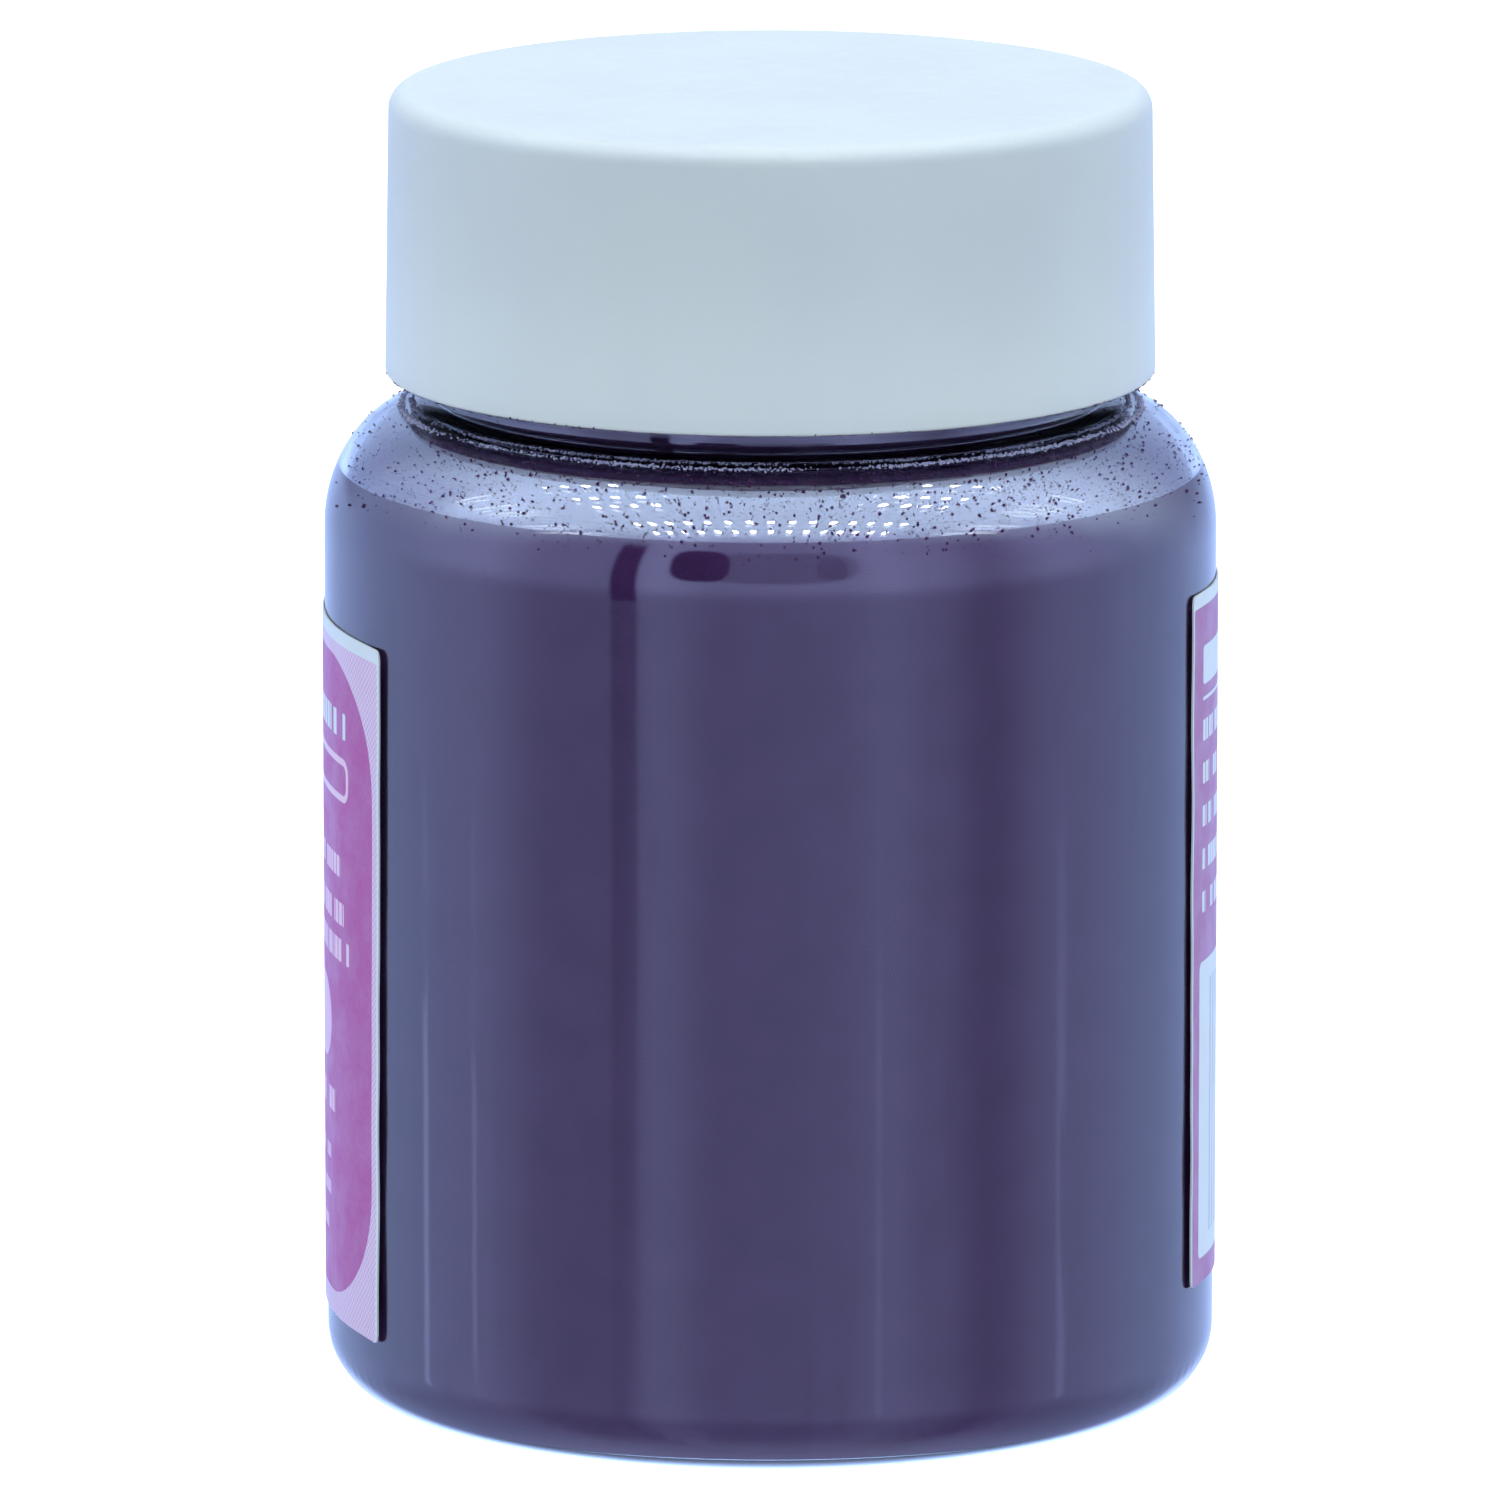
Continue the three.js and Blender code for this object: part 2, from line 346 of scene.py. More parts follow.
def cap():
    thread = thread_relief(-CAP_THREAD_HEIGHT, CAP_THREAD_START)
    ceiling = CAP_TOP - CAP_TOP_THICKNESS
    top_radius = CAP_BOTTOM_RADIUS - CAP_TAPER
    bead_middle = LINER_BOTTOM - LINER_BEAD_HALF - 0.1

    def inside(angle, z):
        bead = smooth(1 - abs(z - bead_middle) / LINER_BEAD_HALF)
        return thread(angle, z)[0] - LINER_BEAD_HEIGHT * bead, 0.0

    rim = (CAP_BOTTOM_RADIUS - CAP_RIM_ROUND, CAP_BOTTOM + CAP_RIM_ROUND)
    lead = CAP_INNER_ROUND
    outline = Outline(0, ceiling)
    outline.line(CAP_INNER_RADIUS - CAP_INNER_ROUND, ceiling, 8)
    corner = (CAP_INNER_RADIUS - CAP_INNER_ROUND, ceiling - CAP_INNER_ROUND)
    outline.arc(corner, (CAP_INNER_ROUND, CAP_INNER_ROUND), 90, 0, 5)
    outline.line(CAP_INNER_RADIUS, CAP_BOTTOM + lead, 92, inside)
    outline.arc((CAP_INNER_RADIUS + lead, CAP_BOTTOM + lead), (lead, lead), 180, 270, 5)
    outline.arc(rim, (CAP_RIM_ROUND, CAP_RIM_ROUND), -90, 0, 5)
    edge = (top_radius - CAP_EDGE_ROUND, CAP_TOP - CAP_EDGE_ROUND)
    outline.line(top_radius, edge[1], 16)
    outline.arc(edge, (CAP_EDGE_ROUND, CAP_EDGE_ROUND), 0, 90, 12)
    outline.curve((top_radius * 0.8, CAP_TOP - CAP_TOP_DISH), (0, CAP_TOP - CAP_TOP_DISH), 14)
    made = revolve("cap_moulded", outline)
    finish_piece(made, "cap", "cap", white_plastic())


def cap_liner():
    """A foam disc that the neck's lip has pressed a ring into."""
    ring_middle = NECK_RADIUS - NECK_WALL / 2
    ring_half = NECK_WALL / 2 + 0.25

    outline = Outline(0, LINER_BOTTOM)
    steps = 60
    for i in range(1, steps + 1):
        radius = (LINER_RADIUS - LINER_ROUND) * i / steps
        dent = LINER_DENT * smooth((1 - abs(radius - ring_middle) / ring_half) * 2)
        outline.line(radius, LINER_BOTTOM + dent)
    corner = LINER_RADIUS - LINER_ROUND
    outline.arc((corner, LINER_BOTTOM + LINER_ROUND), (LINER_ROUND, LINER_ROUND), -90, 0, 4)
    outline.arc((corner, LINER_TOP - LINER_ROUND), (LINER_ROUND, LINER_ROUND), 0, 90, 4)
    outline.line(0, LINER_TOP, 6)
    made = revolve("cap_liner_foam", outline)
    finish_piece(made, "liner", "cap_liner", white_foam())


def mound_relief(radius):
    def relief(angle, z):
        place = round_point(radius, angle, 0)
        rough = sum(depth * noise.noise(place / size) for depth, size in MOUND_ROUGHNESS)
        return 0.0, rough - MOUND_SINK

    return relief


def pigment_powder():
    """The fill. It is pressed to the wall with no air between, but lies loose on the base and shoulder."""
    wall = BODY_RADIUS - BODY_WALL
    floor = BASE_THICKNESS + POWDER_GAP
    heel_loose = (wall - heel_centre[0] - POWDER_GAP, HEEL_UP - floor)
    heel_pressed = (wall - heel_centre[0] + POWDER_PRESSED, HEEL_UP - BASE_THICKNESS + POWDER_PRESSED)
    pressed, sunk = (
        (wall + more - shoulder_centre[0], SHOULDER_UP - BODY_WALL + more)
        for more in (POWDER_PRESSED, -POWDER_GAP)
    )
    level_angle = math.degrees(math.asin((POWDER_LEVEL - shoulder_centre[1]) / sunk[1]))

    outline = Outline(0, floor + PUSH_UP)
    outline.curve((RING_INNER * PUSH_UP_FLAT_SHARE, floor + PUSH_UP), (RING_INNER, floor), 16)
    outline.line(heel_centre[0], floor, 2)
    outline.arc(heel_centre, heel_loose, -88, HEEL_LOOSE_UP_TO - 4, 4)
    outline.arc(heel_centre, heel_pressed, HEEL_LOOSE_UP_TO, 0, 12)
    outline.line(wall + POWDER_PRESSED, shoulder_centre[1], 12)
    outline.arc(shoulder_centre, pressed, 0, POWDER_PRESSED_UP_TO, 8)
    outline.arc(shoulder_centre, sunk, POWDER_PRESSED_UP_TO + 3, level_angle, 4)
    start = outline.points[-1]
    steps = 54
    for i in range(1, steps):
        share = i / steps
        across = start[0] * (1 - share)
        up = start[1] + (POWDER_MOUND - POWDER_LEVEL) * smooth(share)
        outline.line(across, up, 1, mound_relief(across))
    outline.line(0, POWDER_MOUND - MOUND_SINK)
    made = revolve("pigment_powder_fill", outline)
    finish_piece(made, "jar", "pigment_powder", violet_powder())


def dust_film():
    """Powder clinging to the inside of the shoulder and neck, thinning out to a ragged edge."""

    def ragged(angle, z):
        reach = 0.75 + 0.5 * wobble(angle, 0, 9, 1) + 0.3 * wobble(angle, 0, 40, 1, 5.0)
        return 0.0, (z - SHOULDER_TOP) * (reach - 1)

    def side(gap):
        shoulder = (BODY_RADIUS - BODY_WALL - gap - shoulder_centre[0], SHOULDER_UP - BODY_WALL - gap)
        part = Outline(0, 0)
        part.points.clear()
        part.arc(shoulder_centre, shoulder, 38, 90, 12)
        part.arc((bore_radius + BODY_WALL, SHOULDER_TOP), (BODY_WALL + gap, BODY_WALL + gap), 270, 180, 6)
        part.line(bore_radius - gap, FILM_TOP, 24, ragged)
        return part.points

    outline = Outline(0, 0)
    outline.points = side(FILM_GAP) + side(FILM_GAP + FILM_THICKNESS)[::-1]
    made = revolve("dust_inside_neck", outline)
    finish_piece(made, "jar", None, violet_powder())


def grain(rng, middle, outwards, size, long):
    """The corners and faces of one crumb of powder on a surface, most often longer down the slope."""
    across = outwards.cross(UP + outwards.orthogonal() * 0.01).normalized()
    other = outwards.cross(across)
    turn = TURN / 4 + rng.gauss(0, 0.6)
    first = across * math.cos(turn) + other * math.sin(turn)
    second = outwards.cross(first)
    ring, points = GRAIN_CORNERS, []
    for level, spread in GRAIN_LEVELS:
        for i in range(ring):
            angle = TURN * i / ring
            reach = size * spread * rng.uniform(0.7, 1.15)
            flat = first * (reach * long * math.cos(angle)) + second * (reach * math.sin(angle))
            points.append(middle + flat + outwards * (level * size * GRAIN_HEIGHT))
    faces = [tuple(range(ring))[::-1], tuple(range(2 * ring, 3 * ring))]
    for level in range(2):
        for i in range(ring):
            j = (i + 1) % ring
            low, high = level * ring, (level + 1) * ring
            faces.append((low + i, low + j, high + j, high + i))
    return points, faces


def scatter(name, body, rng, places, material):
    """One mesh of many grains. Each place gives a grain's middle, outward direction, size and length."""
    points, faces = [], []
    for place in places:
        corners, sides = grain(rng, *place)
        faces += [tuple(len(points) + k for k in face) for face in sides]
        points += corners
    made = make_object(name, points, faces)
    finish_piece(made, body, None, material)


def resting_place(angle, radius, height, facing, lift):
    """A grain's middle and outward direction, on a wall that faces out and up by the given amounts."""
    outwards = round_point(facing[0], angle, facing[1])
    return round_point(radius, angle, height) + outwards * lift, outwards


def shoulder_place(angle, across, up, lift):
    """A resting place on the shoulder's curve, at shares of its width and height."""
    facing = Vector((across / SHOULDER_ACROSS, up / SHOULDER_UP)).normalized()
    radius = shoulder_centre[0] + SHOULDER_ACROSS * across
    return resting_place(angle, radius, shoulder_centre[1] + SHOULDER_UP * up, facing, lift)


def grain_size(rng, sizes):
    """Many small grains and few large ones."""
    least, most = sizes
    return least + (most - least) * rng.random() ** 3.5


def shoulder_dust():
    """Grains spilt on the outside of the shoulder, thickest on one side and in the corner by the neck."""
    rng = random.Random(SEED)
    places = []
    least, most = SHOULDER_TILTS
    while len(places) < SHOULDER_GRAINS:
        angle = rng.uniform(0, TURN)
        tilt = rng.uniform(least, most)
        around = math.radians(tilt)
        thick = 0.45 + 0.15 * math.cos(angle - math.radians(50)) + 0.45 * wobble(angle, around * 9, 44, 1.4)
        thick *= 0.1 + 0.9 * abs(math.cos(angle))
        if rng.random() > thick * smooth((tilt - 12) / 30) * smooth((most - tilt) / 12):
            continue
        place = shoulder_place(angle, math.cos(around), math.sin(around), WALL_WAVE + 0.005)
        places.append((*place, grain_size(rng, SHOULDER_GRAIN_SIZES), rng.uniform(1, 1.5)))
    for _ in range(FILLET_GRAINS):
        angle = rng.uniform(0, TURN)
        around = math.radians(rng.uniform(*FILLET_TILTS))
        facing = (math.cos(around), math.sin(around))
        radius = NECK_RADIUS + NECK_FILLET * (1 - facing[0])
        height = SHOULDER_TOP + NECK_FILLET * (1 - facing[1])
        place = resting_place(angle, radius, height, facing, 0.01)
        places.append((*place, grain_size(rng, FILLET_GRAIN_SIZES), rng.uniform(1, 1.6)))
    scatter("dust_on_shoulder", "jar", rng, places, violet_grain())


def bloom_dust_painted_highlight():
    """Two thin rings of the palest, finest dust, swept into the corner round the foot of the neck. Their
    colour is brighter than the dust's own, as a painted highlight.
    """
    rng = random.Random(SEED + 3)
    places = []
    for ring_radius, spread, count, broken in BLOOM_RINGS:
        laid = 0
        while laid < count:
            angle = rng.uniform(0, TURN)
            if rng.random() < broken + 1.2 * wobble(angle, ring_radius, 26, 1):
                continue
            wander = 0.09 * wobble(angle, 0, 5, 1, ring_radius)
            radius = ring_radius + wander + rng.gauss(0, spread)
            across = (radius - shoulder_centre[0]) / SHOULDER_ACROSS
            place = shoulder_place(angle, across, math.sqrt(1 - across**2), WALL_WAVE + 0.002)
            places.append((*place, rng.uniform(*BLOOM_GRAIN_SIZES), rng.uniform(1, 1.5)))
            laid += 1
    scatter("bloom_with_painted_highlight_round_neck", "jar", rng, places, pale_dust_painted_highlight())


def rim_dust():
    """Grains caught on the cap's lower rim."""
    rng = random.Random(SEED + 1)
    places = []
    while len(places) < RIM_GRAINS:
        angle = rng.uniform(0, TURN)
        if rng.random() > 0.5 + 0.8 * wobble(angle, 0, 20, 1, 2.0):
            continue
        around = math.radians(rng.uniform(*RIM_TILTS))
        facing = (math.cos(around), math.sin(around))
        radius = CAP_BOTTOM_RADIUS - CAP_RIM_ROUND + CAP_RIM_ROUND * facing[0]
        height = CAP_BOTTOM + CAP_RIM_ROUND + CAP_RIM_ROUND * facing[1]
        place = resting_place(angle, radius, height, facing, 0.002)
        places.append((*place, grain_size(rng, RIM_GRAIN_SIZES), rng.uniform(1, 1.5)))
    scatter("dust_on_cap_rim", "cap", rng, places, violet_grain())


def bore_dust():
    """Loose grains inside the neck, over the film's ragged edge."""
    rng = random.Random(SEED + 2)
    places = []
    film = bore_radius - FILM_GAP - FILM_THICKNESS
    for _ in range(BORE_GRAINS):
        angle = rng.uniform(0, TURN)
        height = SHOULDER_TOP + 1 + (NECK_TOP - SHOULDER_TOP - 2) * rng.random() ** 1.5
        place = resting_place(angle, film, height, (-1, 0), 0.012)
        places.append((*place, grain_size(rng, BORE_GRAIN_SIZES), rng.uniform(1, 1.6)))
    scatter("dust_in_bore", "jar", rng, places, violet_grain())


def label_point(along, up, out):
    """A point of the label: how far along it from its left-hand end, up it, and out from its back."""
    share = along / LABEL_LENGTH
    from_start = max(0.0, 1 - along / LABEL_CURL)
    from_end = max(0.0, 1 - (LABEL_LENGTH - along) / LABEL_CURL)
    tall = up / LABEL_HEIGHT
    uneven = LABEL_LIFT_CHANGE * noise.noise(Vector((along / 9, up / 5, 0)))
    lift = from_start**2 * (LABEL_START_LIFT - LABEL_LIFT_CHANGE * tall + uneven)
    lift += from_end**2 * (LABEL_END_LIFT + uneven)
    lean = LABEL_LEAN * (tall - 1) * share**6
    angle = LABEL_START + (along + lean) / LABEL_RADIUS
    low = LABEL_START_Z + (LABEL_END_Z - LABEL_START_Z) * share
    return round_point(LABEL_RADIUS + lift + out, angle, low + up)


def label_columns():
    """Places along the label, close together near its ends, where it curls and its corners are round."""
    fine, coarse, near = 0.1, 0.8, 3.0
    middle = LABEL_LENGTH - 2 * near
    steps = round(middle / coarse)
    ends = [i * fine for i in range(round(near / fine))]
    return (
        ends
        + [near + middle * i / steps for i in range(steps)]
        + [LABEL_LENGTH - near + i * fine for i in range(round(near / fine) + 1)]
    )


def label():
    columns = label_columns()
    rows = 48
    points, places = [], []
    for out in (0, LABEL_THICKNESS):
        for along in columns:
            from_end = min(along, LABEL_LENGTH - along)
            short = max(0.0, LABEL_CORNER - from_end)
            inset = LABEL_CORNER - math.sqrt(LABEL_CORNER**2 - short**2)
            for row in range(rows + 1):
                up = inset + (LABEL_HEIGHT - 2 * inset) * row / rows
                points.append(label_point(along, up, out))
                places.append((along, up))
    faces = []
    high = len(columns) * (rows + 1)

    def at(column, row, side):
        return side * high + column * (rows + 1) + row

    last = len(columns) - 1
    for column in range(last):
        for row in range(rows):
            corners = [(column, row), (column + 1, row), (column + 1, row + 1), (column, row + 1)]
            faces.append([at(*corner, 1) for corner in corners])
            faces.append([at(*corner, 0) for corner in reversed(corners)])
        for row, order in ((0, 1), (rows, -1)):
            edge = [at(column, row, 0), at(column + 1, row, 0), at(column + 1, row, 1), at(column, row, 1)]
            faces.append(edge[::order])
    for row in range(rows):
        for column, order in ((0, -1), (last, 1)):
            edge = [at(column, row, 0), at(column, row + 1, 0), at(column, row + 1, 1), at(column, row, 1)]
            faces.append(edge[::order])
    made = make_object("wrap_label", points, faces)
    layer = made.data.uv_layers.new(name="LabelPlace")
    for loop in made.data.loops:
        layer.data[loop.index].uv = places[loop.vertex_index]
    shade(made)
    finish_piece(made, "jar", "label", printed_label())


def finish_piece(made, body, node, material):
    made.data.materials.append(material)
    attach(made, body)
    if node:
        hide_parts(node)


class Nodes:
    """A node tree, with short calls that add a node and give its output."""

    def __init__(self, tree):
        self.tree = tree
        tree.nodes.clear()

    def add(self, kind, inputs=None, **settings):
        made = self.tree.nodes.new("ShaderNode" + kind)
        for key, value in settings.items():
            setattr(made, key, value)
        for key, value in (inputs or {}).items():
            self.feed(made.inputs[key], value)
        return made

    def feed(self, socket, value):
        if isinstance(value, bpy.types.NodeSocket):
            self.tree.links.new(value, socket)
        elif socket.type == "RGBA":
            socket.default_value = (*value, 1)
        else:
            socket.default_value = value

    def math(self, operation, *values, clamp=False):
        return self.add("Math", dict(enumerate(values)), operation=operation, use_clamp=clamp).outputs[0]

    def times(self, first, second):
        return self.math("MULTIPLY", first, second)

    def total(self, *values):
        result = values[0]
        for value in values[1:]:
            result = self.math("ADD", result, value)
        return result

    def ease(self, value, low, high, to_low=0.0, to_high=1.0):
        """Goes smoothly from to_low to to_high as the value goes from low to high."""
        inputs = {"Value": value, "From Min": low, "From Max": high, "To Min": to_low, "To Max": to_high}
        return self.add("MapRange", inputs, interpolation_type="SMOOTHSTEP").outputs["Result"]

    def mix(self, share, first, second):
        made = self.add("Mix", data_type="RGBA")
        self.feed(made.inputs["Factor"], share)
        self.feed(made.inputs[6], first)
        self.feed(made.inputs[7], second)
        return made.outputs[2]

    def noise(self, place, scale, detail=2.0, **settings):
        inputs = {"Vector": place, "Scale": scale, "Detail": detail}
        return self.add("TexNoise", inputs, **settings).outputs["Fac"]

    def stretch(self, place, scale):
        return self.add("Mapping", {"Vector": place, "Scale": scale}).outputs["Vector"]

    def split(self, place):
        return self.add("SeparateXYZ", {0: place}).outputs

    def bump(self, height, depth):
        """A surface's small relief, its full height in metres."""
        return self.add("Bump", {"Height": height, "Strength": 1.0, "Distance": depth}).outputs["Normal"]


def makes_material(name):
    """Turns a function that draws a material's nodes into one that gives that material, made only once."""

    def wrap(draw):
        def material():
            made = bpy.data.materials.get(name)
            if not made:
                made = bpy.data.materials.new(name)
                made.use_nodes = True
                draw(Nodes(made.node_tree))
            return made

        return material

    return wrap


def surface(nodes, **inputs):
    """The Principled shader, with its sockets' names written with _ for a space."""
    shader = nodes.add("BsdfPrincipled", {key.replace("_", " "): value for key, value in inputs.items()})
    output = nodes.add("OutputMaterial")
    nodes.tree.links.new(shader.outputs[0], output.inputs["Surface"])


def object_place(nodes):
    """The place on the object, in millimetres."""
    place = nodes.add("TexCoord").outputs["Object"]
    return nodes.add("VectorMath", {0: place, "Scale": 1 / MM}, operation="SCALE").outputs[0]


@makes_material("clear_pet")
def clear_plastic(nodes):
    """Blown PET: glossy, faintly blue, with soft vertical scuffs and fine scratches."""
    place = object_place(nodes)
    streaks = nodes.noise(nodes.stretch(place, (0.9, 0.9, 0.05)), 1.0, 3)
    patches = nodes.noise(nodes.stretch(place, (0.16, 0.16, 0.05)), 1.0, 1)
    scuffed = nodes.times(nodes.ease(streaks, 0.52, 0.66), nodes.ease(patches, 0.5, 0.6))
    handled = nodes.noise(place, 0.35, 2)
    roughness = nodes.total(nodes.ease(handled, 0.4, 0.7, 0.0, 0.02), nodes.times(scuffed, 0.16))
    colour = nodes.mix(nodes.ease(handled, 0.3, 0.7), (0.93, 0.955, 1.0), (0.95, 0.97, 1.0))
    ripple = nodes.noise(place, 0.5, 1)
    surface(
        nodes,
        Base_Color=colour,
        Roughness=roughness,
        Normal=nodes.bump(ripple, 0.0000015),
        IOR=1.575,
        Transmission_Weight=1.0,
    )


@makes_material("white_polypropylene")
def white_plastic(nodes):
    """Satin polypropylene, with an even fine grain and a few rubbed spots. Its side is painted darker
    towards the top as painted shade, and its rim's underside is painted violet, part powder dust and part
    painted shade.
    """
    place = object_place(nodes)
    grain_noise = nodes.noise(place, 5.0, 3)
    cloud = nodes.noise(place, 0.09, 2)
    rubbed = nodes.noise(nodes.stretch(place, (0.6, 0.6, 1.8)), 1.0, 4)
    colour = nodes.mix(nodes.ease(cloud, 0.35, 0.65), (0.563, 0.70, 0.805), (0.583, 0.725, 0.825))
    height = nodes.split(place)[2]
    # Painted shade: the cap's side is darkened towards the top.
    painted_shade_towards_top = nodes.ease(height, CAP_BOTTOM, CAP_TOP - 4, 0.0, 0.14)
    patchy = nodes.ease(nodes.noise(place, 0.8, 3), 0.3, 0.6, 0.5, 1.0)
    colour = nodes.mix(painted_shade_towards_top, colour, (0.05, 0.07, 0.1))
    # Powder dust and painted shade: the rim's underside is darkened to violet.
    underside = nodes.ease(height, CAP_BOTTOM + 0.03, CAP_BOTTOM + 0.13, 0.9, 0.0)
    dust_and_painted_shade = nodes.times(underside, patchy)
    colour = nodes.mix(dust_and_painted_shade, colour, (0.07, 0.035, 0.11))
    roughness = nodes.total(
        nodes.ease(rubbed, 0.45, 0.75, 0.42, 0.34),
        nodes.ease(grain_noise, 0.3, 0.7, 0.0, 0.06),
    )
    surface(
        nodes,
        Base_Color=colour,
        Roughness=roughness,
        Normal=nodes.bump(grain_noise, 0.000006),
        IOR=1.49,
        Specular_IOR_Level=0.32,
        Subsurface_Weight=0.15,
        Subsurface_Radius=(0.0012, 0.0011, 0.001),
        Subsurface_Scale=1.0,
    )


@makes_material("liner_foam")
def white_foam(nodes):
    """Closed-cell foam, with its cells just showing."""
    place = object_place(nodes)
    cells = nodes.add("TexVoronoi", {"Vector": place, "Scale": 3.2}).outputs["Distance"]
    cloud = nodes.noise(place, 0.25, 3)
    colour = nodes.mix(nodes.ease(cloud, 0.35, 0.7), (0.78, 0.78, 0.76), (0.7, 0.68, 0.7))
    surface(
        nodes,
        Base_Color=colour,
        Roughness=nodes.ease(cells, 0.1, 0.6, 0.7, 0.92),
        Normal=nodes.bump(cells, 0.00006),
    )


@makes_material("violet_pigment")
def violet_powder(nodes):
    """Dry pigment: dark violet and quite matt. Between the fill's level and the shoulder's top it is
    painted darker, as painted shade.
    """
    place = object_place(nodes)
    height = nodes.split(place)[2]
    # Painted shade: the powder under the shoulder's top is darkened.
    above_fill = nodes.ease(height, POWDER_LEVEL + 0.2, POWDER_LEVEL + 1.6)
    painted_shade_under_shoulder = nodes.times(above_fill, nodes.ease(height, SHOULDER_TOP - 0.2, SHOULDER_TOP + 0.6, 0.6, 0.0))
    pigment(nodes, place, (0.072, 0.0295, 0.137), (0.092, 0.039, 0.172), painted_shade_under_shoulder, 0.000006)


@makes_material("violet_grain")
def violet_grain(nodes):
    """Single grains of the pigment, which look darker than a heap of it."""
    pigment(nodes, object_place(nodes), (0.036, 0.017, 0.062), (0.075, 0.033, 0.115), 0.0, 0.00002)


def pigment(nodes, place, dark, pale, shaded, relief_depth):
    fine = nodes.noise(place, 6.0, 4)
    broad = nodes.noise(place, 0.3, 3)
    crumbs = nodes.add("TexVoronoi", {"Vector": place, "Scale": 2.4}).outputs["Distance"]
    share = nodes.times(nodes.total(fine, broad), 0.5)
    relief = nodes.total(fine, nodes.times(crumbs, -0.6))
    colour = nodes.mix(nodes.ease(share, 0.35, 0.65), dark, pale)
    # The shaded share mixes the colour towards near black, as painted shade.
    surface(
        nodes,
        Base_Color=nodes.mix(shaded, colour, (0.012, 0.006, 0.02)),
        Roughness=nodes.ease(fine, 0.3, 0.7, 0.85, 1.0),
        Specular_IOR_Level=0.15,
        Normal=nodes.bump(relief, relief_depth),
    )


@makes_material("pale_dust_painted_highlight")
def pale_dust_painted_highlight(nodes):
    """The finest pigment dust, pale and bluish, made brighter than its own colour as a painted highlight in
    the shade under the cap.
    """
    place = object_place(nodes)
    fine = nodes.noise(place, 3.0, 3)
    # Painted highlight: a colour up to full blue, brighter than the dust's own.
    surface(
        nodes,
        Base_Color=nodes.mix(nodes.ease(fine, 0.35, 0.65), (0.38, 0.45, 0.84), (0.56, 0.65, 1.0)),
        Roughness=nodes.ease(fine, 0.3, 0.7, 0.9, 1.0),
        Normal=nodes.bump(fine, 0.00002),
        Specular_IOR_Level=0.1,
    )


INK_WHITE = (0.55, 0.70, 0.815)
INK_PINK = (0.285, 0.072, 0.25)
INK_MAGENTA = (0.32, 0.014, 0.24)
INK_PLUM = (0.10, 0.03, 0.16)
INK_GREY_BLUE = (0.36, 0.46, 0.55)
INK_LILAC = (0.66, 0.50, 0.74)
INK_MAUVE = (0.62, 0.44, 0.72)
PINK_WIDTH = 30


